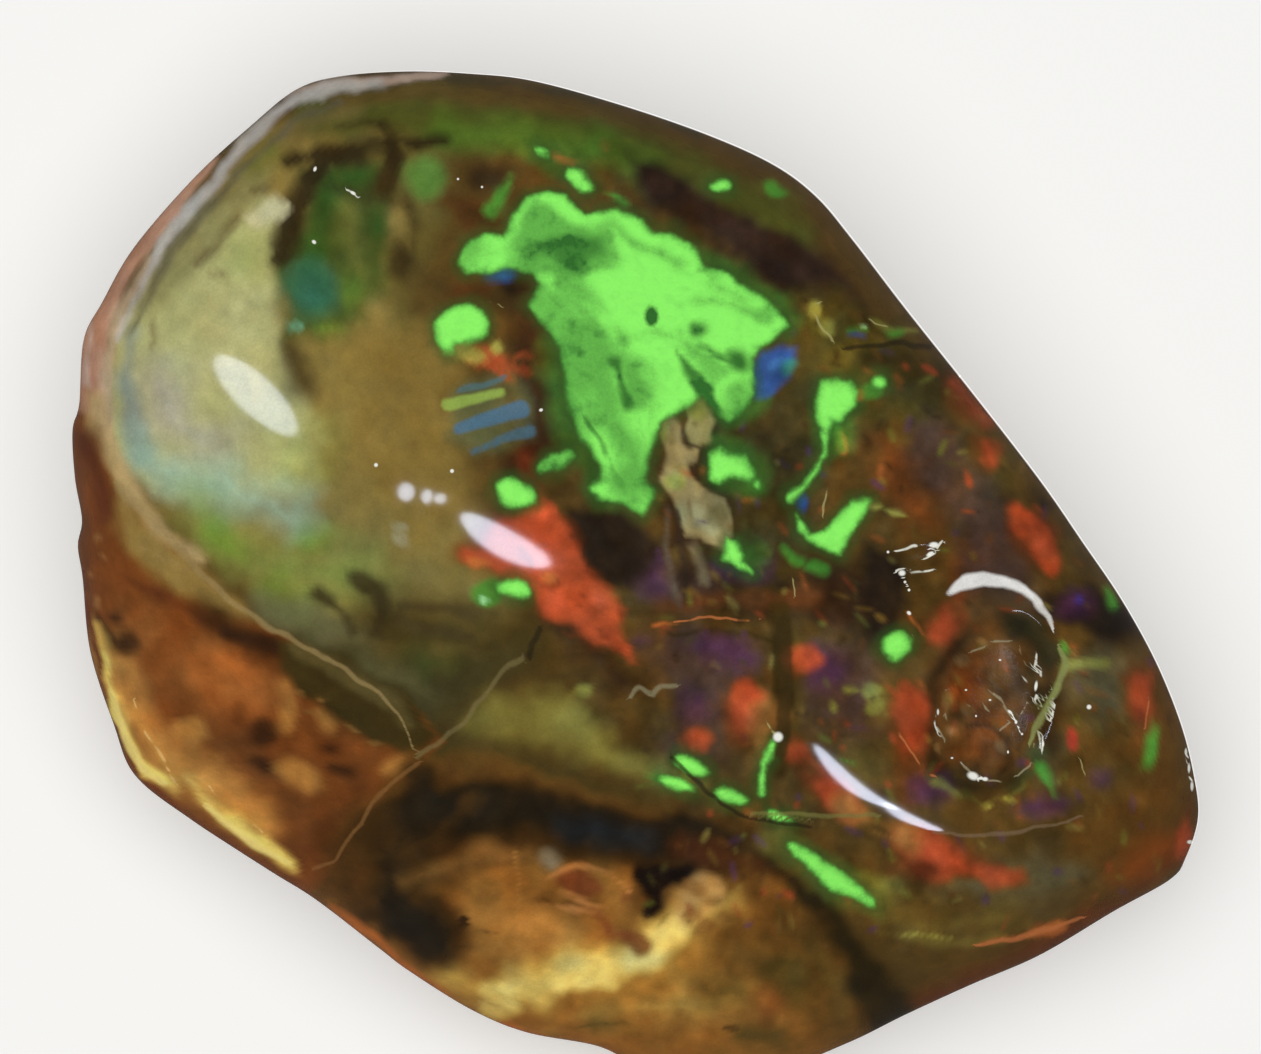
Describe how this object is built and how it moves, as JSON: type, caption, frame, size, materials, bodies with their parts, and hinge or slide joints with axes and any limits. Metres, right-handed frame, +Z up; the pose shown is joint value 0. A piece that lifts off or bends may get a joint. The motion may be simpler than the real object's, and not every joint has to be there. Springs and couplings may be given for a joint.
{
  "type": "polished opal",
  "caption": "Polished freeform Ethiopian opal, domed on top with ground facets and an oval pit, resting on a small flat spot.",
  "frame": {"origin": "bottom centre of the stone's box, on the plane that it rests on", "axes": "+Z up through the domed face, +X along the longest side towards the narrow end with the oval pit, +Y towards the broad far edge"},
  "size_m": [0.0244, 0.022, 0.0106],
  "materials": {
    "opal": "glassy polish on translucent brown opal with bright green and red flashes of colour, amber at its left and front facets, milky at its upper left"
  },
  "bodies": {
    "root": {"opal": "opal"}
  },
  "joints": []
}
